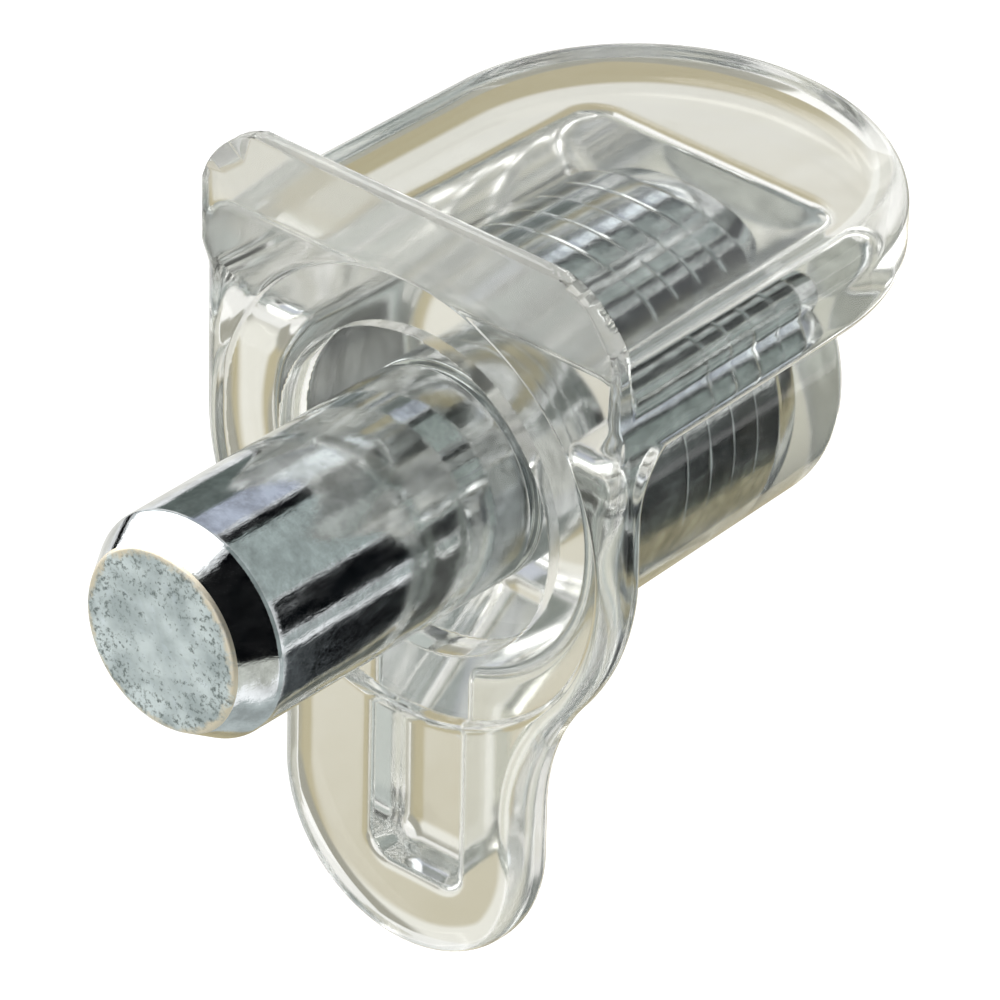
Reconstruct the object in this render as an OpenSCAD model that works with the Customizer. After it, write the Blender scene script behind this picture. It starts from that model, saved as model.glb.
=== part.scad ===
// Shelf support: a clear moulded bracket on a plated steel pin.
// The origin is on the pin's axis in the wall plane, the pin points along -Y
// and the shelf rests on the plate at +Z.

/* [Steel pin] */
// Diameter of the pin, which fits a 5 mm shelf hole
pin_d = 5.0; // [4:0.1:6]
// Length of pin in front of the wall plane, which goes into the shelf hole
pin_reach = 7.2; // [5:0.1:12]
// Length of pin behind the wall plane, inside the moulding
pin_grip = 8.8; // [6:0.1:9.2]
// Length of the chamfer on each end of the pin
pin_chamfer_len = 0.85; // [0.2:0.05:1.5]
// How far each chamfer brings the radius in
pin_chamfer_drop = 0.53; // [0.1:0.01:1]
// Width of the neck turned where the pin enters the moulding, which flows into it
neck_w = 0.6; // [0.55:0.05:0.9]
// Depth of that neck
neck_depth = 0.2; // [0.17:0.01:0.4]
// Number of scored rings that key the pin's inner end into the moulding
ring_count = 4; // [1:1:5]
// Spacing of the rings
ring_pitch = 0.75; // [0.4:0.05:1.1]
// Distance of the last ring behind the wall plane
ring_last_y = 7.23; // [6.8:0.01:7.6]
// Width of each scored ring at the pin's surface
ring_w = 0.1; // [0.06:0.01:0.2]
// Depth of each scored ring
ring_depth = 0.05; // [0.02:0.01:0.1]

/* [Wall plate] */
// Width of the wall plate, and the diameter of its round lower end
wall_w = 11.2; // [10:0.1:14]
// Thickness of the wall plate below the shelf level
wall_t = 1.25; // [0.9:0.05:2]
// Height of the upright lip's top edge above the pin's axis
lip_top_z = 7.0; // [6:0.1:9]
// Thickness of the lip at the shelf level
lip_root_t = 0.6; // [0.5:0.05:1]
// Thickness of the lip at its top edge
lip_top_t = 0.35; // [0.25:0.05:0.5]
// Radius of the lip's two upper corners
lip_corner_r = 2.2; // [0.5:0.1:2.2]

/* [Front recess] */
// Diameter of the shallow round recess in the wall face
recess_d = 10.2; // [8:0.1:10.4]
// Depth of the recess
recess_depth = 0.35; // [0.2:0.05:0.45]
// Diameter of the relief round the pin inside the recess
relief_d = 7.3; // [6:0.1:7.8]
// Depth of the relief from the wall plane
relief_depth = 1.2; // [0.7:0.05:1.6]

/* [Shelf plate] */
// Height of the shelf plate's top face above the pin's axis
shelf_z = 4.75; // [4.4:0.05:5.5]
// Thickness of the shelf plate
shelf_t = 2.3; // [1.6:0.1:2.6]
// Distance from the wall plane to the centre of the round end
shelf_end_y = 7.5; // [6:0.1:10]
// Radius of the round end
shelf_end_r = 5.45; // [5:0.05:5.8]
// Radius of the rounded edges of the shelf plate
shelf_edge_r = 0.8; // [0.3:0.05:1]
// Radius of the fillet between the shelf plate's underside and the wall plate
shelf_fillet_r = 1.2; // [0.4:0.1:2]

/* [Barrel] */
// Radius of the barrel where it leaves the wall plate
barrel_root_r = 4.15; // [3.6:0.05:4.6]
// Distance from the wall plane to the closed end of the barrel
barrel_end_y = 9.6; // [9.4:0.1:11]
// Draft angle of every face that runs along the pin
draft = 1.4; // [0.5:0.1:2.5]
// Radius of the edge round the barrel's closed end
barrel_edge_r = 0.45; // [0.2:0.05:0.7]

/* [Tongue] */
// Width of the tongue that hangs below the wall plate
tongue_w = 6.7; // [5:0.1:8]
// Depth of the tongue's lower end below the pin's axis
tongue_bottom = 11.1; // [10:0.1:13]
// Radius of the hollow curves where the tongue joins the wall plate
tongue_fillet_r = 5.0; // [3:0.1:6]

/* [Rib] */
// Thickness of the rib behind the tongue
rib_t = 2.4; // [1.8:0.1:3]
// Distance from the wall plane to the back of the rib
rib_back_y = 3.4; // [2.6:0.05:4]
// Depth of the rib's lower end below the pin's axis
rib_bottom = 9.5; // [8.5:0.1:9.8]
// Depth below the pin's axis at which the rib turns towards the barrel's end
rib_heel = 6.4; // [5.4:0.1:7.5]
// Distance from the wall plane to the rib's toe under the barrel
rib_toe_y = 7.5; // [5:0.1:8.4]
// Height of the rib's blunt toe below the barrel
rib_toe_h = 0.45; // [0.2:0.05:1]
// Radius of the rib's lower and back edges
rib_edge_r = 0.55; // [0.2:0.05:0.8]

/* [Hidden] */
$fn = 96;
// Reach of a cut past the face it opens
cut = 1;
// Depth by which one form runs into the next inside the moulding
weld = 0.3;
// Distance by which the neck starts in front of the relief's floor
neck_clear = 0.02;
// Distance by which the barrel's side runs into its rounded edge
edge_tuck = 0.005;

pin_r = pin_d / 2;
neck_start = relief_depth - neck_clear;
neck_r = pin_r - neck_depth;
wall_r = wall_w / 2;
shelf_under_z = shelf_z - shelf_t;
barrel_end_r = barrel_root_r - (barrel_end_y - wall_t) * tan(draft);
tongue_r = tongue_w / 2;
// Rise of the rib's back from its heel to its toe
rib_slope = atan2(rib_heel - barrel_end_r - rib_toe_h, rib_toe_y - rib_back_y);
// Centre of each hollow curve, which touches the wall plate's round end and the tongue's side
hollow_x = tongue_r + tongue_fillet_r;
hollow_z = -sqrt(pow(wall_r + tongue_fillet_r, 2) - pow(hollow_x, 2));
// Where the hollow curve leaves the round end
hollow_share = wall_r / (wall_r + tongue_fillet_r);

// Stands a shape made along +Z along +Y instead, with its own Y turned to -Z
module along_pin() {
    rotate([-90, 0, 0]) children();
}

// A bar of square section between two corners
module box(from, to) {
    translate(from) cube(to - from);
}

// A profile in the Y-Z plane, stretched across X
module across(width) {
    rotate([90, 0, 90])
        translate([0, 0, -width / 2])
            linear_extrude(width) children();
}

// Turned bar with the same chamfer on both ends, and a neck and scored rings where the moulding grips it
module pin_bar() {
    tip_r = pin_r - pin_chamfer_drop;
    neck_end = neck_start + neck_w;
    neck = [[pin_r, neck_start], [neck_r, neck_start], [neck_r, neck_end], [pin_r, neck_end]];
    rings = [
        for (k = [1 : ring_count])
            let (y = ring_last_y - (ring_count - k) * ring_pitch)
                each [[pin_r, y - ring_w / 2], [pin_r - ring_depth, y], [pin_r, y + ring_w / 2]]
    ];
    along_pin()
        rotate_extrude()
            polygon(concat(
                [[0, -pin_reach], [tip_r, -pin_reach], [pin_r, -pin_reach + pin_chamfer_len]],
                neck,
                rings,
                [[pin_r, pin_grip - pin_chamfer_len], [tip_r, pin_grip], [0, pin_grip]]
            ));
}

module steel_pin() {
    color([0.72, 0.74, 0.76]) pin_bar();
}

// Wall plate below the shelf level, with its lower half round
module wall_plate() {
    intersection() {
        along_pin() cylinder(r = wall_r, h = wall_t);
        box([-wall_r, 0, -wall_r], [wall_r, wall_t, 0]);
    }
    box([-wall_r, 0, 0], [wall_r, wall_t, shelf_z - shelf_edge_r]);
    box([-wall_r, 0, shelf_under_z], [wall_r, lip_root_t, shelf_z + weld]);
}

// Upright lip that stands above the shelf level and thins towards its top
module lip() {
    intersection() {
        across(wall_w)
            polygon([
                [0, shelf_under_z],
                [lip_root_t, shelf_under_z],
                [lip_root_t, shelf_z],
                [lip_top_t, lip_top_z],
                [0, lip_top_z]
            ]);
        union() {
            box([-wall_r, -cut, 0], [wall_r, wall_t, lip_top_z - lip_corner_r]);
            box([-wall_r + lip_corner_r, -cut, 0], [wall_r - lip_corner_r, wall_t, lip_top_z]);
            for (side = [-1, 1])
                translate([side * (wall_r - lip_corner_r), -cut, lip_top_z - lip_corner_r])
                    along_pin() cylinder(r = lip_corner_r, h = wall_t + cut);
        }
    }
}

// Half of the shelf plate's straight part: a wide slab with one rounded edge at +X
module drafted_side(length) {
    reach = 4 * shelf_end_r;
    edge_x = shelf_end_r - shelf_edge_r;
    box([-reach, -length, 0], [edge_x, 0, shelf_t]);
    box([-reach, -length, shelf_edge_r], [shelf_end_r, 0, shelf_t - shelf_edge_r]);
    for (z = [shelf_edge_r, shelf_t - shelf_edge_r])
        translate([edge_x, -length, z])
            along_pin() cylinder(r = shelf_edge_r, h = length);
}

// Shelf plate: drafted sides that run tangent into the round end
module shelf_plate() {
    straight = shelf_end_y - lip_root_t / 2;
    edge_x = shelf_end_r - shelf_edge_r;
    translate([0, shelf_end_y, shelf_under_z]) {
        intersection() {
            rotate([0, 0, draft]) drafted_side(2 * straight);
            mirror([1, 0, 0]) rotate([0, 0, draft]) drafted_side(2 * straight);
            box([-wall_r, -straight, -cut], [wall_r, 0, shelf_t + cut]);
        }
        cylinder(r = edge_x, h = shelf_t);
        translate([0, 0, shelf_edge_r]) cylinder(r = shelf_end_r, h = shelf_t - 2 * shelf_edge_r);
        for (z = [shelf_edge_r, shelf_t - shelf_edge_r])
            translate([0, 0, z])
                rotate_extrude() translate([edge_x, 0]) circle(r = shelf_edge_r);
    }
}

// Section of the hollow curve under the shelf plate: depth below the plate against distance
// from the back of the wall plate
module fillet_section(edge_r) {
    difference() {
        translate([0, -weld]) square([edge_r + shelf_fillet_r, shelf_fillet_r + weld]);
        translate([edge_r + shelf_fillet_r, shelf_fillet_r]) circle(r = shelf_fillet_r);
    }
}

// Hollow curve between the shelf plate's underside and the back of the wall plate,
// which follows the plate's rounded lower edges out to the sides
module shelf_fillet() {
    front = wall_t + shelf_fillet_r;
    edge_z = shelf_under_z + shelf_edge_r;
    edge_x = shelf_end_r - shelf_edge_r + (shelf_end_y - front) * tan(draft);
    translate([0, wall_t, edge_z]) {
        across(2 * edge_x) rotate(-90) fillet_section(shelf_edge_r);
        intersection() {
            for (side = [-1, 1])
                translate([side * edge_x, 0, 0])
                    along_pin() rotate_extrude() fillet_section(shelf_edge_r);
            box([-wall_r, -weld, -edge_z], [wall_r, shelf_fillet_r, 0]);
        }
    }
}

// Half of the barrel's outline seen from above, from the wall plate to the closed end
module barrel_outline() {
    length = barrel_end_y - wall_t;
    corner_y = length - barrel_edge_r;
    corner_x = barrel_root_r - corner_y * tan(draft) - barrel_edge_r / cos(draft);
    polygon([
        [0, -weld],
        [barrel_root_r, -weld],
        [barrel_root_r, 0],
        [corner_x + barrel_edge_r * cos(draft) - edge_tuck, corner_y + barrel_edge_r * sin(draft)],
        [corner_x, corner_y],
        [corner_x, length],
        [0, length]
    ]);
    translate([corner_x, corner_y]) circle(r = barrel_edge_r);
}

// Round barrel that holds the pin and runs up into the shelf plate
module barrel() {
    translate([0, wall_t, 0]) along_pin() rotate_extrude() barrel_outline();
}

// Tongue with a round end, blended into the wall plate by two hollow curves
module tongue() {
    end_z = -tongue_bottom + tongue_r;
    touch_x = hollow_x * hollow_share;
    touch_z = hollow_z * hollow_share;
    box([-tongue_r, 0, end_z], [tongue_r, wall_t, 0]);
    translate([0, 0, end_z]) along_pin() cylinder(r = tongue_r, h = wall_t);
    difference() {
        box([-touch_x, 0, hollow_z], [touch_x, wall_t, touch_z]);
        for (side = [-1, 1])
            translate([side * hollow_x, -cut, hollow_z])
                along_pin() cylinder(r = tongue_fillet_r, h = wall_t + 2 * cut);
    }
}

// Side view of the rib, drawn in by some distance from its lower and back edges
module rib_side(inset) {
    bottom_z = -rib_bottom + inset;
    back_y = rib_back_y - inset;
    // A corner's share of the inset where the back turns into the slope
    turn = inset * (1 - sin(rib_slope)) / cos(rib_slope);
    polygon([
        [wall_t - weld, bottom_z],
        [back_y, bottom_z],
        [back_y, -rib_heel + turn],
        [rib_toe_y, -barrel_end_r - rib_toe_h + inset / cos(rib_slope)],
        [rib_toe_y, -pin_r - weld],
        [wall_t - weld, -pin_r - weld]
    ]);
}

// Round edges of the rib on one side: below, up the back, and along the slope to the toe
module rib_edges() {
    bottom_z = -rib_bottom + rib_edge_r;
    back_y = rib_back_y - rib_edge_r;
    turn_z = -rib_heel + rib_edge_r * (1 - sin(rib_slope)) / cos(rib_slope);
    translate([0, wall_t - weld, bottom_z])
        along_pin() cylinder(r = rib_edge_r, h = back_y - wall_t + weld);
    translate([0, back_y, bottom_z]) {
        sphere(r = rib_edge_r);
        cylinder(r = rib_edge_r, h = turn_z - bottom_z);
    }
    intersection() {
        translate([0, back_y, turn_z])
            rotate([rib_slope - 90, 0, 0])
                cylinder(r = rib_edge_r, h = 2 * rib_toe_y);
        box([-rib_t, back_y - rib_edge_r, turn_z - rib_edge_r], [rib_t, rib_toe_y, 0]);
    }
}

// Rib on the centre line that ties the tongue to the underside of the barrel
module rib() {
    across(rib_t) rib_side(rib_edge_r);
    across(rib_t - 2 * rib_edge_r)
        difference() {
            rib_side(0);
            translate([rib_back_y - rib_edge_r, -rib_bottom]) square(rib_edge_r);
        }
    across(rib_t - 2 * rib_edge_r)
        translate([rib_back_y - rib_edge_r, -rib_bottom + rib_edge_r]) circle(r = rib_edge_r);
    for (side = [-1, 1])
        translate([side * (rib_t / 2 - rib_edge_r), 0, 0]) rib_edges();
}

// Room in the moulding for the pin, which it is moulded round, and the two recesses in the wall face
module pin_socket() {
    pin_bar();
    translate([0, -cut, 0]) along_pin() {
        cylinder(d = relief_d, h = relief_depth + cut);
        cylinder(d = recess_d, h = recess_depth + cut);
    }
}

module support_body() {
    color([0.88, 0.9, 0.88, 0.4])
        difference() {
            union() {
                wall_plate();
                lip();
                shelf_plate();
                shelf_fillet();
                barrel();
                tongue();
                rib();
            }
            pin_socket();
        }
}

steel_pin();
support_body();
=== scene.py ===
import math
import bpy
import numpy as np
from mathutils import Matrix, Vector, noise


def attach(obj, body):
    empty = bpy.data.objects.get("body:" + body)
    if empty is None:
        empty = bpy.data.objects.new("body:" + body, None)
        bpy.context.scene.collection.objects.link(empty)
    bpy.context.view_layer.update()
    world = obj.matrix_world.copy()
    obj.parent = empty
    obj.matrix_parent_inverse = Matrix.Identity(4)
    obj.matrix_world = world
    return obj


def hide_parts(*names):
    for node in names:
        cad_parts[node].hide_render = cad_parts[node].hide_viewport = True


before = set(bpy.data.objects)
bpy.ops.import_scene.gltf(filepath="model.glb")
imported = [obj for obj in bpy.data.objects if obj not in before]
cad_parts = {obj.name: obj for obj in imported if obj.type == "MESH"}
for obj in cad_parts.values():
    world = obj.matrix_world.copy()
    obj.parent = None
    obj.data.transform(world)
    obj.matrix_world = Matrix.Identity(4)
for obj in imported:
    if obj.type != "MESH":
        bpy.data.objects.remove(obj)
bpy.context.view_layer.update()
mm = 0.001  # metres in a millimetre: forms are worked out in millimetres
scene = bpy.context.scene
scene.cycles.max_bounces = 24  # light turns back many times inside the clear moulding
scene.cycles.glossy_bounces = 20
scene.cycles.transmission_bounces = 20


def hexToLinear(code, alpha=1.0):
    # "#rrggbb" in sRGB, as linear light
    channels = [int(code[i:i + 2], 16) / 255 for i in (1, 3, 5)]
    linear = [c / 12.92 if c <= 0.04045 else ((c + 0.055) / 1.055) ** 2.4 for c in channels]
    return (*linear, alpha)


def addNode(tree, kind, links=None, **settings):
    # one node, with its own settings, socket values and incoming links
    node = tree.nodes.new(kind)
    for name, value in settings.items():
        setattr(node, name, value)
    for socket, source in (links or {}).items():
        if isinstance(source, bpy.types.NodeSocket):
            tree.links.new(source, node.inputs[socket])
        else:
            node.inputs[socket].default_value = source
    return node


def newMaterial(name):
    material = bpy.data.materials.new(name)
    material.use_nodes = True
    material.node_tree.nodes.clear()
    return material, material.node_tree


cameraView = {
    "azimuth": 40.452,
    "elevation": 32.452,
    "roll": 1.294,
    "distance": 200.0,  # mm
    "lens": 348.85,  # mm, on a 36 mm sensor
    "target": (0.0, 3.0, -2.0),  # mm
    "acrossBy": 0.087,  # mm, camera and target moved together across the view
    "upBy": 0.485,
}


def placeCamera(s):
    azimuth, elevation, roll = (math.radians(s[k]) for k in ("azimuth", "elevation", "roll"))
    back = Vector((
        math.sin(azimuth) * math.cos(elevation),
        -math.cos(azimuth) * math.cos(elevation),
        math.sin(elevation),
    ))
    right = (-back).cross(Vector((0, 0, 1))).normalized()
    up = right.cross(-back)
    across = math.cos(roll) * right + math.sin(roll) * up
    upward = -math.sin(roll) * right + math.cos(roll) * up
    place = Vector(s["target"]) + back * s["distance"] + across * s["acrossBy"] + upward * s["upBy"]
    data = bpy.data.cameras.new("studioCamera")
    data.lens = s["lens"]
    data.sensor_width = 36.0
    data.clip_start = 0.01
    camera = bpy.data.objects.new("studioCamera", data)
    turn = Matrix((across, upward, back)).transposed().to_4x4()
    camera.matrix_world = Matrix.Translation(place * mm) @ turn
    scene.collection.objects.link(camera)
    scene.camera = camera


placeCamera(cameraView)
print("camera placed")


mouldedBody = {
    "step": 0.056,  # spacing of the grid that the mesh is drawn on
    "keptShare": 0.29,  # of its faces, most of them at curves
    "wallHalf": 5.6,
    "wallThick": 1.25,
    "wallEdge": 0.55,
    "lipTop": 7.0,
    "lipRootThick": 0.6,
    "lipTopThick": 0.35,
    "lipCorner": 2.2,
    "lipEdge": 0.17,
    "lipFillet": 0.2,
    "recessRadius": 5.1,
    "recessDepth": 0.35,
    "reliefRadius": 3.65,
    "reliefDepth": 1.2,
    "rimEdge": 0.18,
    "plateTop": 4.75,
    "plateThick": 2.3,
    "plateEndAt": 7.5,
    "plateEndRadius": 5.45,
    "plateEdge": 0.8,
    "plateFillet": 1.2,
    "barrelRoot": 4.15,
    "barrelEnd": 9.6,
    "barrelEdge": 0.45,
    "draft": 1.4,  # degrees
    "tongueHalf": 3.35,
    "tongueBottom": 11.1,
    "tongueHollow": 5.0,
    "ribHalf": 1.2,
    "ribBack": 3.4,
    "ribBottom": 9.5,
    "ribHeel": 6.4,
    "ribToe": 7.5,
    "ribToeHeight": 0.45,
    "ribCorner": 0.6,
    "ribBackEdge": 0.5,
    "ribFillet": 0.25,
    "barrelFillet": 0.4,
    "ribDraft": 4.0,  # degrees
    "ribWeld": 0.35,  # how far the rib runs into the wall and the barrel
    "weld": 0.3,  # how far the plate and the barrel run into what they join
    "backEase": 0.75,  # from the plate's two faces, where the wall's back turns into the lip's
    "castRadius": 2.44,  # under the scored rings of the pin
    "neckRadius": 2.29,
    "neckFrom": 1.18,
    "neckTo": 1.78,
    "castTaperAt": 7.95,
    "castEndRadius": 1.91,
    "castEnd": 8.79,
}
body = mouldedBody
draft = math.radians(body["draft"])


def insideBoth(a, b, radius):
    # the common part of two forms, its edge rounded
    u = np.maximum(a + radius, 0)
    v = np.maximum(b + radius, 0)
    return np.minimum(-radius, np.maximum(a, b)) + np.hypot(u, v)


def joined(a, b, radius):
    # two forms in one, with a round fillet where they meet
    u = np.maximum(radius - a, 0)
    v = np.maximum(radius - b, 0)
    return np.maximum(radius, np.minimum(a, b)) - np.hypot(u, v)


def easedShare(value, start, end):
    t = np.clip((value - start) / (end - start), 0, 1)
    return t * t * (3 - 2 * t)


def polygonDistance(px, py, points):
    nearest = np.full(px.shape, 1e9)
    inside = np.zeros(px.shape, bool)
    for (ax, ay), (bx, by) in zip(points, points[1:] + points[:1]):
        ex, ey = bx - ax, by - ay
        wx, wy = px - ax, py - ay
        t = np.clip((wx * ex + wy * ey) / (ex * ex + ey * ey), 0, 1)
        nearest = np.minimum(nearest, (wx - ex * t) ** 2 + (wy - ey * t) ** 2)
        if ay != by:
            inside ^= ((ay > py) != (by > py)) & (px < (bx - ax) * (py - ay) / (by - ay) + ax)
    return np.where(inside, -1, 1) * np.sqrt(nearest)


def wallOutline(x, z):
    # round lower half, lip with rounded corners above, and the tongue below
    x = np.abs(x)
    cx = body["wallHalf"] - body["lipCorner"]
    cz = body["lipTop"] - body["lipCorner"]
    corner = np.hypot(np.maximum(x - cx, 0), np.maximum(z - cz, 0)) - body["lipCorner"]
    square = np.maximum(x - body["wallHalf"], z - body["lipTop"])
    corner = np.where(corner < 0, np.minimum(corner, square), corner)
    wall = np.where(z > 0, corner, np.hypot(x, z) - body["wallHalf"])
    endZ = body["tongueHalf"] - body["tongueBottom"]
    tongue = np.hypot(x, np.minimum(z - endZ, 0)) - body["tongueHalf"]
    tongue = np.where(z > 0, np.maximum(tongue, z), tongue)
    # hollow curve that touches the wall's round end and the tongue's side
    hx = body["tongueHalf"] + body["tongueHollow"]
    hz = -math.sqrt((body["wallHalf"] + body["tongueHollow"]) ** 2 - hx ** 2)
    dx, dz = x - hx, z - hz
    inSector = (dz > 0) & (dz * hx - dx * hz < 0) & (dx < 0)
    return np.where(inSector, body["tongueHollow"] - np.hypot(dx, dz), np.minimum(wall, tongue))


def plateOutline(x, y):
    # drafted sides and a round end
    x = np.abs(x)
    y = y - body["plateEndAt"]
    line = x * math.cos(draft) + y * math.sin(draft) - body["plateEndRadius"]
    along = y * math.cos(draft) - x * math.sin(draft)
    outline = np.where(along > 0, np.hypot(x, y) - body["plateEndRadius"], line)
    return np.maximum(outline, x - body["wallHalf"])


def ribProfile(y, z):
    root = body["wallThick"] - body["ribWeld"]
    barrelEndRadius = body["barrelRoot"] - (body["barrelEnd"] - body["wallThick"]) * math.tan(draft)
    flat = polygonDistance(y, z, [
        (root, -body["ribBottom"]),
        (body["ribBack"], -body["ribBottom"]),
        (body["ribBack"], -body["ribHeel"]),
        (body["ribToe"], -barrelEndRadius - body["ribToeHeight"]),
        (body["ribToe"], -body["castRadius"] - body["ribWeld"]),
        (root, -body["castRadius"] - body["ribWeld"]),
    ])
    cy = body["ribBack"] - body["ribCorner"]
    cz = body["ribCorner"] - body["ribBottom"]
    corner = (y > cy) & (z < cz)
    return np.where(corner, np.maximum(flat, np.hypot(y - cy, z - cz) - body["ribCorner"]), flat)


def castRoom(y, r):
    # room for the pin, the relief at its mouth and the front recess;
    # the outline starts well in front of the wall and past the axis
    cast = polygonDistance(y, r, [
        (-2, -1),
        (-2, body["castRadius"]),
        (body["neckFrom"], body["castRadius"]),
        (body["neckFrom"], body["neckRadius"]),
        (body["neckTo"], body["neckRadius"]),
        (body["neckTo"], body["castRadius"]),
        (body["castTaperAt"], body["castRadius"]),
        (body["castEnd"], body["castEndRadius"]),
        (body["castEnd"], -1),
    ])
    relief = np.maximum(r - body["reliefRadius"], y - body["reliefDepth"])
    recess = np.maximum(r - body["recessRadius"], y - body["recessDepth"])
    return np.minimum(np.minimum(cast, relief), recess)


def bodyField(x, y, z):
    # below zero inside the moulding, in millimetres
    under = body["plateTop"] - body["plateThick"]
    middle = body["plateTop"] - body["plateThick"] / 2
    faces = np.abs(z - middle) - body["plateThick"] / 2
    plate = insideBoth(plateOutline(x, y), faces, body["plateEdge"])
    plate = np.maximum(plate, body["weld"] - y)
    # the back of the wall, which thins where it becomes the lip
    lipSlope = (body["lipRootThick"] - body["lipTopThick"]) / (body["lipTop"] - body["plateTop"])
    lipBack = body["lipRootThick"] - (z - body["plateTop"]) * lipSlope
    share = easedShare(z, under + body["backEase"], body["plateTop"] - body["backEase"])
    back = y - (body["wallThick"] * (1 - share) + lipBack * share)
    fillet = body["plateFillet"] * (1 - share) + body["lipFillet"] * share
    edge = body["wallEdge"] * (1 - share) + body["lipEdge"] * share
    wall = insideBoth(wallOutline(x, z), np.maximum(-y, joined(back, plate, fillet)), edge)
    solid = np.minimum(wall, plate)
    radius = body["barrelRoot"] - (y - body["wallThick"]) * math.tan(draft)
    side = (np.hypot(x, z) - radius) * math.cos(draft)
    barrel = insideBoth(side, y - body["barrelEnd"], body["barrelEdge"])
    inner = np.maximum(z - under - body["weld"], body["wallThick"] - body["weld"] - y)
    barrel = np.maximum(barrel, inner)
    solid = joined(solid, barrel, body["barrelFillet"])
    ribHalf = body["ribHalf"] - (y - body["wallThick"]) * math.tan(math.radians(body["ribDraft"]))
    rib = insideBoth(np.abs(x) - ribHalf, ribProfile(y, z), body["ribBackEdge"])
    solid = joined(solid, rib, body["ribFillet"])
    return insideBoth(solid, -castRoom(y, np.hypot(x, z)), body["rimEdge"])


def fieldSlope(field, points, reach=1e-3):
    slope = np.empty_like(points)
    for axis in range(3):
        offset = np.zeros(3)
        offset[axis] = reach
        ahead, behind = points + offset, points - offset
        slope[:, axis] = (field(*ahead.T) - field(*behind.T)) / (2 * reach)
    return slope


def surfaceNet(field, low, high, step):
    # a mesh of quads with one point in each cell that the surface crosses;
    # a coarse grid finds where the surface is, and only there is the fine one worked out
    coarse = 4  # fine steps in a coarse one
    margin = 1.3  # coarse steps: more than half the diagonal of a coarse cell
    counts = [math.ceil((high[i] - low[i]) / (coarse * step)) for i in range(3)]
    middles = [low[i] + (np.arange(counts[i]) + 0.5) * coarse * step - 0.5 * step for i in range(3)]
    rough = field(*np.meshgrid(*middles, indexing="ij"))
    value, near = (
        grid.repeat(coarse, 0).repeat(coarse, 1).repeat(coarse, 2)
        for grid in (rough.astype(np.float32), np.abs(rough) < margin * coarse * step)
    )
    axes = [low[i] + np.arange(counts[i] * coarse) * step for i in range(3)]
    places = np.nonzero(near)
    value[places] = field(*(axes[i][places[i]] for i in range(3)))
    inside = value < 0
    size = np.array(value.shape)
    corners = [(i, j, k) for i in (0, 1) for j in (0, 1) for k in (0, 1)]
    filled = sum(
        inside[i:size[0] - 1 + i, j:size[1] - 1 + j, k:size[2] - 1 + k].astype(np.int8)
        for i, j, k in corners
    )
    active = (filled > 0) & (filled < 8)
    cells = np.argwhere(active)
    index = np.full(active.shape, -1, np.int64)
    index[active] = np.arange(len(cells))
    at = {c: value[cells[:, 0] + c[0], cells[:, 1] + c[1], cells[:, 2] + c[2]] for c in corners}
    total = np.zeros((len(cells), 3))
    count = np.zeros(len(cells))
    for axis in range(3):
        for p, q in ((0, 0), (0, 1), (1, 0), (1, 1)):
            start, end = [p, q], [p, q]
            start.insert(axis, 0)
            end.insert(axis, 1)
            a, b = at[tuple(start)], at[tuple(end)]
            crossed = (a < 0) != (b < 0)
            place = np.tile(np.array(start, float), (len(cells), 1))
            place[:, axis] = np.where(crossed, a / np.where(crossed, a - b, 1), 0)
            total[crossed] += place[crossed]
            count[crossed] += 1
    points = (cells + total / count[:, None]) * step + np.array([a[0] for a in axes])
    quads = []
    for axis in range(3):
        u, w = (axis + 1) % 3, (axis + 2) % 3
        run = np.moveaxis(inside, axis, 0)
        edges = np.argwhere(np.moveaxis(run[:-1] != run[1:], 0, axis))
        leaving = np.moveaxis(run[:-1] & ~run[1:], 0, axis)
        within = (edges[:, u] > 0) & (edges[:, w] > 0)
        within &= (edges[:, u] < size[u] - 1) & (edges[:, w] < size[w] - 1)
        edges = edges[within]
        out = leaving[edges[:, 0], edges[:, 1], edges[:, 2]]
        sides = []
        for du, dw in ((0, 0), (-1, 0), (-1, -1), (0, -1)):
            cell = edges.copy()
            cell[:, u] += du
            cell[:, w] += dw
            sides.append(index[cell[:, 0], cell[:, 1], cell[:, 2]])
        quad = np.stack(sides, 1)
        quad[~out] = quad[~out][:, ::-1]
        quads.append(quad)
    return points, np.concatenate(quads)


def meshPiece(name, points, faces, normals=None):
    mesh = bpy.data.meshes.new(name)
    mesh.from_pydata((points * mm).tolist(), [], faces if isinstance(faces, list) else faces.tolist())
    mesh.update()
    mesh.polygons.foreach_set("use_smooth", [True] * len(mesh.polygons))
    if normals is not None:
        mesh.normals_split_custom_set_from_vertices(normals.tolist())
    piece = bpy.data.objects.new(name, mesh)
    scene.collection.objects.link(piece)
    return piece


def evenedOut(points, quads, share=0.5):
    # moves each point towards the middle of its neighbours
    ends = np.concatenate([quads[:, [i, (i + 1) % 4]] for i in range(4)])
    count = np.bincount(ends[:, 0], minlength=len(points))
    total = np.stack([np.bincount(ends[:, 0], points[ends[:, 1], i], len(points)) for i in range(3)], 1)
    return points + share * (total / count[:, None] - points)


def drawnOn(points, rounds):
    # draws the points onto the true surface
    for _ in range(rounds):
        slope = fieldSlope(bodyField, points)
        steep = np.maximum((slope ** 2).sum(1), 0.25)
        points = points - (bodyField(*points.T) / steep)[:, None] * slope
    return points


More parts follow.
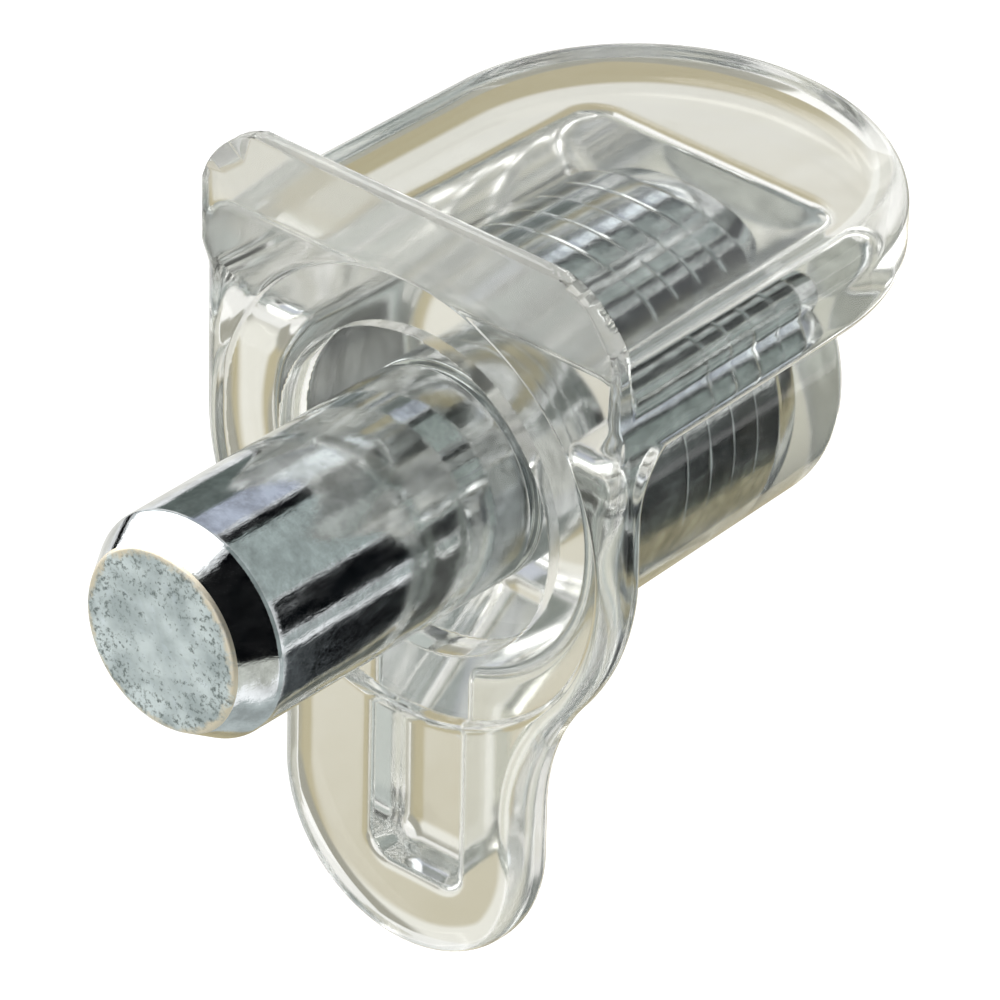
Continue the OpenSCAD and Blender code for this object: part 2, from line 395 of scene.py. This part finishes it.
def makeBody():
    pad = 3 * body["step"]
    low = (-body["wallHalf"] - pad, -pad, -body["tongueBottom"] - pad)
    endY = body["plateEndAt"] + body["plateEndRadius"]
    high = (body["wallHalf"] + pad, endY + pad, body["lipTop"] + pad)
    points, quads = surfaceNet(bodyField, low, high, body["step"])
    points = drawnOn(points, 2)
    for _ in range(3):
        points = drawnOn(evenedOut(points, quads), 1)
    piece = meshPiece("mouldedBody", points, quads)
    thin = piece.modifiers.new("thin", "DECIMATE")
    thin.ratio = body["keptShare"]
    shown = piece.evaluated_get(bpy.context.evaluated_depsgraph_get())
    mesh = bpy.data.meshes.new_from_object(shown)
    piece.modifiers.clear()
    piece.data = mesh
    places = np.empty(len(mesh.vertices) * 3)
    mesh.vertices.foreach_get("co", places)
    points = drawnOn(places.reshape(-1, 3) / mm, 3)
    mesh.vertices.foreach_set("co", (points * mm).ravel())
    normals = fieldSlope(bodyField, points, 0.01)  # a wider reach than above gives steadier shading
    normals /= np.maximum(np.linalg.norm(normals, axis=1), 1e-9)[:, None]
    mesh.polygons.foreach_set("use_smooth", [True] * len(mesh.polygons))
    mesh.normals_split_custom_set_from_vertices(normals.tolist())
    mesh.update()
    return piece


bodyPiece = makeBody()
print("moulded body", len(bodyPiece.data.polygons), "faces")


turnedPin = {
    "radius": 2.5,
    "reach": 7.2,
    "grip": 8.8,
    "chamferLength": 0.85,
    "chamferDrop": 0.53,
    "edgeRound": 0.06,
    "shoulderLength": 0.95,  # behind the chamfer, rolled down a little by the cropping die
    "shoulderDrop": 0.004,
    "pitDepth": 0.05,  # of the sheared end
    "rimWobble": 0.035,
    "pitBase": 0.35,
    "pitRimDrop": 0.3,
    "pitRimFade": 0.6,  # share of the pitting that is gone at the rim
    "pitRimFrom": 1.45,
    "pitRimTo": 1.85,
    "endSpacing": 0.06,  # of the mesh's rows on the sheared end
    "spacing": 0.18,  # and elsewhere
    "neckFrom": 1.18,
    "neckTo": 1.78,
    "neckRadius": 2.3,
    "ringFirst": 4.98,
    "ringPitch": 0.75,
    "ringCount": 4,
    "ringWidth": 0.1,
    "ringDepth": 0.022,  # where a ring is deepest: each one fades in and out round the pin
    "biteAbove": 0.9,  # share by which the upper side is marked more
    "biteLess": 0.1,
    "biteLeast": 0.08,
    "segments": 288,
}


def roundedProfile(corners, radius, steps=5):
    # a line of (y, r) corners with each inner corner eased over the given distance
    line = [corners[0]]
    for before, corner, after in zip(corners, corners[1:], corners[2:]):
        before, corner, after = (np.array(p, float) for p in (before, corner, after))
        reach = min(radius, 0.45 * np.linalg.norm(before - corner), 0.45 * np.linalg.norm(after - corner))
        start = corner + (before - corner) / np.linalg.norm(before - corner) * reach
        end = corner + (after - corner) / np.linalg.norm(after - corner) * reach
        for t in np.linspace(0, 1, steps):
            line.append(tuple((1 - t) ** 2 * start + 2 * t * (1 - t) * corner + t * t * end))
    line.append(corners[-1])
    return line


def shearedEnd(s, x, y, z):
    # the cropped end of the rod: pitted, with a rim that wanders
    behind = (y + s["reach"]) / s["chamferLength"]
    if behind > 1:
        return x, y, z
    r = math.hypot(x, z)
    wander = noise.noise(Vector((x * 1.1, 4.0, z * 1.1)).normalized() * 1.7)
    grow = 1 + s["rimWobble"] * (1 - behind) * wander
    if behind > 0.02 or r > s["radius"] - s["chamferDrop"]:
        return x * grow, y, z * grow
    # pits of about 0.3 mm, and finer ones of 0.1 mm
    broad = max(0.0, noise.noise(Vector((x, 0.0, z)) * 3.4)) ** 1.5
    pits = broad + 0.3 * abs(noise.noise(Vector((x, 9.0, z)) * 9.0))
    rim = easedShare(r, s["pitRimFrom"], s["pitRimTo"])
    level = float(s["pitBase"] + pits - s["pitRimDrop"] * rim)
    return x * grow, y + s["pitDepth"] * level * float(1 - s["pitRimFade"] * rim), z * grow


def scoredRing(s, x, y, z):
    # the knife bit unevenly, so a ring is broken into short marks
    r = math.hypot(x, z)
    first = s["ringFirst"] - s["ringWidth"]
    last = s["ringFirst"] + s["ringCount"] * s["ringPitch"]
    if y < first or y > last or r > s["radius"] - 1e-6:
        return x, y, z
    wander = noise.noise(Vector((x * 1.3, y * 2.1, z * 1.3)))
    bite = s["biteAbove"] * z / r - s["biteLess"] + wander
    kept = s["radius"] - (s["radius"] - r) * min(1.0, max(s["biteLeast"], bite))
    return x / r * kept, y, z / r * kept


def makePin(s):
    tipRadius = s["radius"] - s["chamferDrop"]
    corners = [
        (-s["reach"], 0.0),
        (-s["reach"], tipRadius),
        (-s["reach"] + s["chamferLength"], s["radius"] - s["shoulderDrop"]),
        (-s["reach"] + s["chamferLength"] + s["shoulderLength"], s["radius"]),
        (s["neckFrom"], s["radius"]),
        (s["neckFrom"] + 0.01, s["neckRadius"]),
        (s["neckTo"] - 0.01, s["neckRadius"]),
        (s["neckTo"], s["radius"]),
    ]
    for k in range(s["ringCount"]):
        y = s["ringFirst"] + k * s["ringPitch"]
        corners += [
            (y - s["ringWidth"] / 2, s["radius"]),
            (y, s["radius"] - s["ringDepth"]),
            (y + s["ringWidth"] / 2, s["radius"]),
        ]
    corners += [(s["grip"] - s["chamferLength"], s["radius"]), (s["grip"], tipRadius), (s["grip"], 0.0)]
    line = roundedProfile(corners, s["edgeRound"])
    # more points where a run is long
    fine = [line[0]]
    for a, b in zip(line, line[1:]):
        spacing = s["endSpacing"] if b[0] < -s["reach"] + 0.01 else s["spacing"]
        pieces = max(1, math.ceil(math.dist(a, b) / spacing))
        for k in range(1, pieces + 1):
            fine.append((a[0] + (b[0] - a[0]) * k / pieces, a[1] + (b[1] - a[1]) * k / pieces))
    angles = np.arange(s["segments"]) * 2 * math.pi / s["segments"]
    points = [(0.0, fine[0][0], 0.0)]
    rows = []
    for y, r in fine[1:-1]:
        rows.append(len(points))
        for a in angles:
            points.append(scoredRing(s, *shearedEnd(s, r * math.cos(a), y, r * math.sin(a))))
    points.append((0.0, fine[-1][0], 0.0))
    n = s["segments"]
    faces = []
    for k in range(n):
        after = (k + 1) % n
        faces.append((0, rows[0] + k, rows[0] + after))
        for a, b in zip(rows, rows[1:]):
            faces.append((a + k, b + k, b + after, a + after))
        faces.append((len(points) - 1, rows[-1] + after, rows[-1] + k))
    return meshPiece("turnedPin", np.array(points), faces)


pinPiece = makePin(turnedPin)
print("steel pin", len(pinPiece.data.polygons), "faces")


clearPlastic = {
    "tint": "#f4f4ef",
    "haze": 0.01,  # share of light that the surface scatters
    "lipHaze": 0.24,
    "lipFrom": 4.85,  # mm, height at which the haze of the lip begins
    "lipTo": 5.3,
    "roughness": 0.1,
    "ior": 1.585,  # polycarbonate
    "rippleScale": 450.0,  # per metre: ripples of about 2 mm
    "rippleHeight": 0.012,  # mm
}


def clearPolycarbonate(s):
    # injection-moulded polycarbonate: clear and bright where the mould is polished,
    # with a satin, slightly milky lip and soft ripples from the flow of the melt
    material, tree = newMaterial("clearMouldedPolycarbonate")
    place = addNode(tree, "ShaderNodeTexCoord")
    parts = addNode(tree, "ShaderNodeSeparateXYZ", {0: place.outputs["Object"]})
    onLip = addNode(tree, "ShaderNodeMapRange", {
        "Value": parts.outputs["Z"], "From Min": s["lipFrom"] * mm, "From Max": s["lipTo"] * mm,
        "To Min": 1 - s["haze"], "To Max": 1 - s["lipHaze"],
    })
    ripple = addNode(tree, "ShaderNodeTexNoise", {
        "Vector": place.outputs["Object"], "Scale": s["rippleScale"], "Detail": 2.0,
    })
    bump = addNode(tree, "ShaderNodeBump", {
        "Height": ripple.outputs["Fac"], "Strength": 1.0, "Distance": s["rippleHeight"] * mm,
    })
    shader = addNode(tree, "ShaderNodeBsdfPrincipled", {
        "Base Color": hexToLinear(s["tint"]),
        "Roughness": s["roughness"],
        "IOR": s["ior"],
        "Transmission Weight": onLip.outputs[0],
        "Normal": bump.outputs["Normal"],
    })
    addNode(tree, "ShaderNodeOutputMaterial", {"Surface": shader.outputs["BSDF"]})
    return material


platedSteel = {
    "colour": "#dfe3e5",
    "dullColour": "#b7babb",
    "roughness": 0.075,
    "endColour": "#dae4e8",
    "endCloud": "#b4bfc3",
    "endShade": "#7f898a",  # painted shade of the pits
    "endRim": "#ded6c4",
    "endRoughness": 0.5,
    "endAt": -7.1,  # mm along the pin: the sheared end is in front of this
    "endRimFrom": 2.2,  # mm from the axis
    "endRimTo": 2.34,
    "rimWander": 0.7,  # mm
    "grainScale": 2600.0,  # per metre: grain of about 0.4 mm
    "grainDrawn": 0.22,  # its scale along the rod, against across
    "grainHeight": 0.006,  # mm
    "speckScale": 9000.0,  # specks of painted pit shade of about 0.1 mm, drawn as coarse as they need to show
    "speckEdgeward": -85.0,  # per metre from the axis: how much denser they get towards the rim
    "speckFrom": 0.22,
    "speckTo": 0.36,
    "cloudScale": 1100.0,  # clouds of about 0.9 mm
    "mottleScale": 1700.0,  # mottle of about 0.6 mm
    "roughnessLess": 0.03,
    "roughnessMore": 0.1,
}


def zincPlatedSteel(s):
    # cropped steel rod with bright zinc plate: a cool mirror whose reflections have ragged edges,
    # and a matt, pitted end where the rod was sheared, its pits darkened with painted shade
    material, tree = newMaterial("brightZincPlatedSteel")
    place = addNode(tree, "ShaderNodeTexCoord")
    parts = addNode(tree, "ShaderNodeSeparateXYZ", {0: place.outputs["Object"]})
    # grain drawn out along the rod
    drawn = addNode(tree, "ShaderNodeMapping", {
        "Vector": place.outputs["Object"], "Scale": (1.0, s["grainDrawn"], 1.0),
    })
    grain = addNode(tree, "ShaderNodeTexNoise", {
        "Vector": drawn.outputs[0], "Scale": s["grainScale"], "Detail": 5.0, "Roughness": 0.7,
    })
    specks = addNode(tree, "ShaderNodeTexNoise", {
        "Vector": place.outputs["Object"], "Scale": s["speckScale"], "Detail": 3.0, "Roughness": 0.7,
    })
    onEnd = addNode(tree, "ShaderNodeMath", {
        0: parts.outputs["Y"], 1: s["endAt"] * mm,
    }, operation="LESS_THAN")
    flat = addNode(tree, "ShaderNodeCombineXYZ", {"X": parts.outputs["X"], "Z": parts.outputs["Z"]})
    fromAxis = addNode(tree, "ShaderNodeVectorMath", {0: flat.outputs[0]}, operation="LENGTH")
    wander = addNode(tree, "ShaderNodeMath", {
        0: grain.outputs["Fac"], 1: s["rimWander"] * mm, 2: fromAxis.outputs["Value"],
    }, operation="MULTIPLY_ADD")
    rim = addNode(tree, "ShaderNodeMapRange", {
        "Value": wander.outputs[0], "From Min": s["endRimFrom"] * mm, "From Max": s["endRimTo"] * mm,
    })
    # painted shade in the pits, denser towards the rim
    edgeward = addNode(tree, "ShaderNodeMath", {
        0: fromAxis.outputs["Value"], 1: s["speckEdgeward"], 2: specks.outputs["Fac"],
    }, operation="MULTIPLY_ADD")
    pitShade = addNode(tree, "ShaderNodeMapRange", {
        "Value": edgeward.outputs[0], "From Min": s["speckFrom"], "From Max": s["speckTo"],
    })
    clouds = addNode(tree, "ShaderNodeTexNoise", {
        "Vector": place.outputs["Object"], "Scale": s["cloudScale"], "Detail": 4.0,
    })
    cloud = addNode(tree, "ShaderNodeMapRange", {
        "Value": clouds.outputs["Fac"], "From Min": 0.4, "From Max": 0.62,
    })
    clouded = addNode(tree, "ShaderNodeMix", {
        0: cloud.outputs[0], 6: hexToLinear(s["endCloud"]), 7: hexToLinear(s["endColour"]),
    }, data_type="RGBA")
    # the painted pit shade darkens the colour of the sheared end
    endColour = addNode(tree, "ShaderNodeMix", {
        0: pitShade.outputs[0], 6: hexToLinear(s["endShade"]), 7: clouded.outputs[2],
    }, data_type="RGBA")
    rimmed = addNode(tree, "ShaderNodeMix", {
        0: rim.outputs[0], 6: endColour.outputs[2], 7: hexToLinear(s["endRim"]),
    }, data_type="RGBA")
    mottle = addNode(tree, "ShaderNodeTexNoise", {
        "Vector": place.outputs["Object"], "Scale": s["mottleScale"], "Detail": 6.0, "Roughness": 0.65,
    })
    dull = addNode(tree, "ShaderNodeMapRange", {
        "Value": mottle.outputs["Fac"], "From Min": 0.35, "From Max": 0.62,
    })
    mottled = addNode(tree, "ShaderNodeMix", {
        0: dull.outputs[0], 6: hexToLinear(s["dullColour"]), 7: hexToLinear(s["colour"]),
    }, data_type="RGBA")
    colour = addNode(tree, "ShaderNodeMix", {
        0: onEnd.outputs[0], 6: mottled.outputs[2], 7: rimmed.outputs[2],
    }, data_type="RGBA")
    worn = addNode(tree, "ShaderNodeMapRange", {
        "Value": grain.outputs["Fac"], "From Min": 0.35, "From Max": 0.75,
        "To Min": s["roughness"] - s["roughnessLess"], "To Max": s["roughness"] + s["roughnessMore"],
    })
    roughness = addNode(tree, "ShaderNodeMix", {
        0: onEnd.outputs[0], 2: worn.outputs[0], 3: s["endRoughness"],
    })
    bump = addNode(tree, "ShaderNodeBump", {
        "Height": grain.outputs["Fac"], "Strength": 1.0, "Distance": s["grainHeight"] * mm,
    })
    shader = addNode(tree, "ShaderNodeBsdfPrincipled", {
        "Base Color": colour.outputs[2],
        "Roughness": roughness.outputs[0],
        "Metallic": 1.0,
        "Normal": bump.outputs["Normal"],
    })
    addNode(tree, "ShaderNodeOutputMaterial", {"Surface": shader.outputs["BSDF"]})
    return material


bodyPiece.data.materials.append(clearPolycarbonate(clearPlastic))
pinPiece.data.materials.append(zincPlatedSteel(platedSteel))
pieces = (
    (bodyPiece, "support_body", "clear_plastic"),
    (pinPiece, "steel_pin", "steel"),
)
for piece, node, slot in pieces:
    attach(piece, "root")
    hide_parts(node)
print("finishes made")


studio = {
    "floorBelow": 230.0,  # mm under the origin
    "floorHalf": 900.0,
    "floorColour": "#e9e9e9",
    "floorLift": 0.5,  # added where the floor is seen, so that it stays pale
    "fillLevel": 0.8,
    "keyAzimuth": -40,
    "keyElevation": 60,
    "keyDistance": 300,  # mm
    "keySize": 160,  # mm
    "keyLevel": 5.0,
}


def seenDirectly(tree):
    # 1 for camera, glossy and transmission rays
    path = addNode(tree, "ShaderNodeLightPath")
    first = addNode(tree, "ShaderNodeMath", {
        0: path.outputs["Is Camera Ray"], 1: path.outputs["Is Glossy Ray"],
    }, operation="ADD")
    return addNode(tree, "ShaderNodeMath", {
        0: first.outputs[0], 1: path.outputs["Is Transmission Ray"],
    }, operation="ADD", use_clamp=True)


def makeWorld(s):
    world = bpy.data.worlds.new("studioWorld")
    scene.world = world
    world.use_nodes = True
    tree = world.node_tree
    tree.nodes.clear()
    seen = seenDirectly(tree)
    level = addNode(tree, "ShaderNodeMapRange", {
        "Value": seen.outputs[0], "To Min": s["fillLevel"], "To Max": 1.0,
    })
    back = addNode(tree, "ShaderNodeBackground", {"Color": (1, 1, 1, 1), "Strength": level.outputs[0]})
    addNode(tree, "ShaderNodeOutputWorld", {"Surface": back.outputs[0]})


def makeFloor(s):
    half = s["floorHalf"]
    z = -s["floorBelow"]
    points = np.array([(-half, -half, z), (half, -half, z), (half, half, z), (-half, half, z)], float)
    floor = meshPiece("paleFloor", points, [(0, 1, 2, 3)])
    material, tree = newMaterial("palePaintedBoard")
    seen = seenDirectly(tree)
    diffuse = addNode(tree, "ShaderNodeBsdfDiffuse", {"Color": hexToLinear(s["floorColour"])})
    lift = addNode(tree, "ShaderNodeMath", {0: seen.outputs[0], 1: s["floorLift"]}, operation="MULTIPLY")
    glow = addNode(tree, "ShaderNodeEmission", {"Color": (1, 1, 1, 1), "Strength": lift.outputs[0]})
    both = addNode(tree, "ShaderNodeAddShader", {0: diffuse.outputs[0], 1: glow.outputs[0]})
    addNode(tree, "ShaderNodeOutputMaterial", {"Surface": both.outputs[0]})
    floor.data.materials.append(material)


def directionFrom(azimuth, elevation):
    a, e = math.radians(azimuth), math.radians(elevation)
    return Vector((math.sin(a) * math.cos(e), -math.cos(a) * math.cos(e), math.sin(e)))


def softbox(name, s):
    # the level is the brightness of the lamp's face
    data = bpy.data.lights.new(name, "AREA")
    data.shape = "RECTANGLE"
    data.size = s["keySize"] * mm
    data.size_y = s["keySize"] * mm
    data.energy = s["keyLevel"] * math.pi * s["keySize"] * s["keySize"] * mm * mm
    lamp = bpy.data.objects.new(name, data)
    away = directionFrom(s["keyAzimuth"], s["keyElevation"])
    lamp.location = away * s["keyDistance"] * mm
    lamp.rotation_euler = away.to_track_quat("Z", "Y").to_euler()
    scene.collection.objects.link(lamp)


studioBoards = {
    # boards curved round the line of the pin. The camera, diffuse light and shadows don't see them.
    # Each has: the angles round the pin that it spans, from +X towards +Z; its ends along the pin (mm);
    # the colour and level that gloss shows; the colour seen straight through the clear parts
    "lowFlag": (-80, -27, 144, 264, "#040506", 1.0, "#aaa89b"),
    "lowNearFlag": (-80, -27, 131, 144, "#55595b", 1.0, "#aaa89b"),
    "lowEdge": (-104, -80, 130, 163, "#4c524e", 1.0, "#b4b2a6"),
    "lowRim": (-140, -104, 130, 163, "#858b85", 1.0, "#f0efe8"),
    "lowFarFlag": (-120, -80, 163, 264, "#060708", 1.0, "#b4b2a6"),
    "sideStrip": (-22, -12, 130, 225, "#c9d2d0", 0.8, "#aaa89b"),
    "sideFlag": (-10, 22, 130, 264, "#0c0f11", 1.0, "#aaa89b"),
    "upperBoard": (24, 88, 118, 172, "#b4bfbc", 1.0, "#c8c7bd"),
    "upperFarBoard": (26, 60, 172, 264, "#ccd2d0", 1.0, "#c8c7bd"),
    "upperFarFlag": (60, 88, 172, 264, "#4d5254", 1.0, "#c8c7bd"),
    "topFlag": (88, 100, 118, 225, "#0e1113", 1.0, "#ffffff"),
    "topBoard": (103, 132, 75, 166, "#e2e9fb", 0.75, "#ffffff"),
    "topFarBoard": (106, 132, 166, 262, "#eef4fa", 1.8, "#ffffff"),
    "leftBoard": (132, 178, 118, 168, "#6d7672", 1.0, "#ffffff"),
    "leftFarBoard": (134, 178, 168, 225, "#b4b7bf", 1.0, "#ffffff"),
    "keyBoard": (86, 179, -85, 30, "#ffffff", 3.0, "#ffffff"),
    "keyFlag": (180, 187, 10, 90, "#101212", 1.0, "#ffffff"),
    "roomBehindCamera": (-22, 80, -150, -32, "#050608", 1.0, "#ffffff"),
    "frontTop": (80, 190, -300, -86, "#d6d5c9", 1.0, "#ffffff"),
    "roomFarBehind": (-22, 80, -600, -150, "#50555a", 1.0, "#ffffff"),
    "frontFloor": (190, 338, -300, -40, "#dfe0d6", 1.0, "#ffffff"),
    "underBoard": (240, 335, -20, 128, "#c6cecd", 1.0, "#aaa89b"),
    "rightSide": (-24, 84, -31, 112, "#9aa4a2", 1.0, "#b4b2a6"),
    "upperLeft": (86, 178, 32, 74, "#d4dada", 1.0, "#ffffff"),
    "farRight": (-90, 170, 264, 600, "#878c88", 1.0, "#d5d4cb"),
}
boardRadius = 190.0  # mm
stripAngle = 4  # degrees of a board's curve in one flat strip
throughCard = {
    # a graded card behind, seen through the clear parts: warm below, white above
    "span": (190, 264, 60, 420),
    "warm": "#bfb595",
    "warmAt": -150.0,  # mm, height
    "pale": "#f6f5ef",
    "paleAt": -124.0,
    # mm along the pin: further off the card is grey, and the rounded edges bend it into view
    "fadeFrom": 236.0,
    "fadeTo": 290.0,
    "far": "#a3a196",
}


def curvedSheet(name, start, end, near, far, radius=boardRadius):
    count = max(2, math.ceil(abs(end - start) / stripAngle))
    points, faces = [], []
    for k in range(count + 1):
        a = math.radians(start + (end - start) * k / count)
        points += [(radius * math.cos(a), y, radius * math.sin(a)) for y in (near, far)]
    for k in range(count):
        faces.append((2 * k, 2 * k + 1, 2 * k + 3, 2 * k + 2))
    board = meshPiece(name, np.array(points), faces)
    board.visible_camera = False
    board.visible_diffuse = False
    board.visible_shadow = False
    return board


def glossBoard(name, start, end, near, far, colour, level, through):
    # shows its colour to light that has been reflected, and another straight through the clear parts
    board = curvedSheet(name, start, end, near, far)
    material, tree = newMaterial(name + "Paint")
    path = addNode(tree, "ShaderNodeLightPath")
    reflected = addNode(tree, "ShaderNodeMath", {
        0: path.outputs["Glossy Depth"], 1: 0.5,
    }, operation="GREATER_THAN")
    plain = addNode(tree, "ShaderNodeEmission", {"Color": hexToLinear(through)})
    glow = addNode(tree, "ShaderNodeEmission", {"Color": hexToLinear(colour), "Strength": level})
    either = addNode(tree, "ShaderNodeMixShader", {
        0: reflected.outputs[0], 1: plain.outputs[0], 2: glow.outputs[0],
    })
    addNode(tree, "ShaderNodeOutputMaterial", {"Surface": either.outputs[0]})
    board.data.materials.append(material)


def makeThroughCard(s):
    card = curvedSheet("throughCard", *s["span"], radius=boardRadius - 1)
    material, tree = newMaterial("gradedCard")
    place = addNode(tree, "ShaderNodeTexCoord")
    parts = addNode(tree, "ShaderNodeSeparateXYZ", {0: place.outputs["Object"]})
    share = addNode(tree, "ShaderNodeMapRange", {
        "Value": parts.outputs["Z"], "From Min": s["warmAt"] * mm, "From Max": s["paleAt"] * mm,
    })
    colour = addNode(tree, "ShaderNodeMix", {
        0: share.outputs[0], 6: hexToLinear(s["warm"]), 7: hexToLinear(s["pale"]),
    }, data_type="RGBA")
    fade = addNode(tree, "ShaderNodeMapRange", {
        "Value": parts.outputs["Y"], "From Min": s["fadeFrom"] * mm, "From Max": s["fadeTo"] * mm,
    }, interpolation_type="SMOOTHSTEP")
    faded = addNode(tree, "ShaderNodeMix", {
        0: fade.outputs[0], 6: colour.outputs[2], 7: hexToLinear(s["far"]),
    }, data_type="RGBA")
    glow = addNode(tree, "ShaderNodeEmission", {"Color": faded.outputs[2]})
    addNode(tree, "ShaderNodeOutputMaterial", {"Surface": glow.outputs[0]})
    card.data.materials.append(material)


makeWorld(studio)
makeFloor(studio)
softbox("keySoftbox", studio)
for boardName, values in studioBoards.items():
    glossBoard(boardName, *values)
makeThroughCard(throughCard)
print("studio set")

scene.view_settings.view_transform = "Standard"
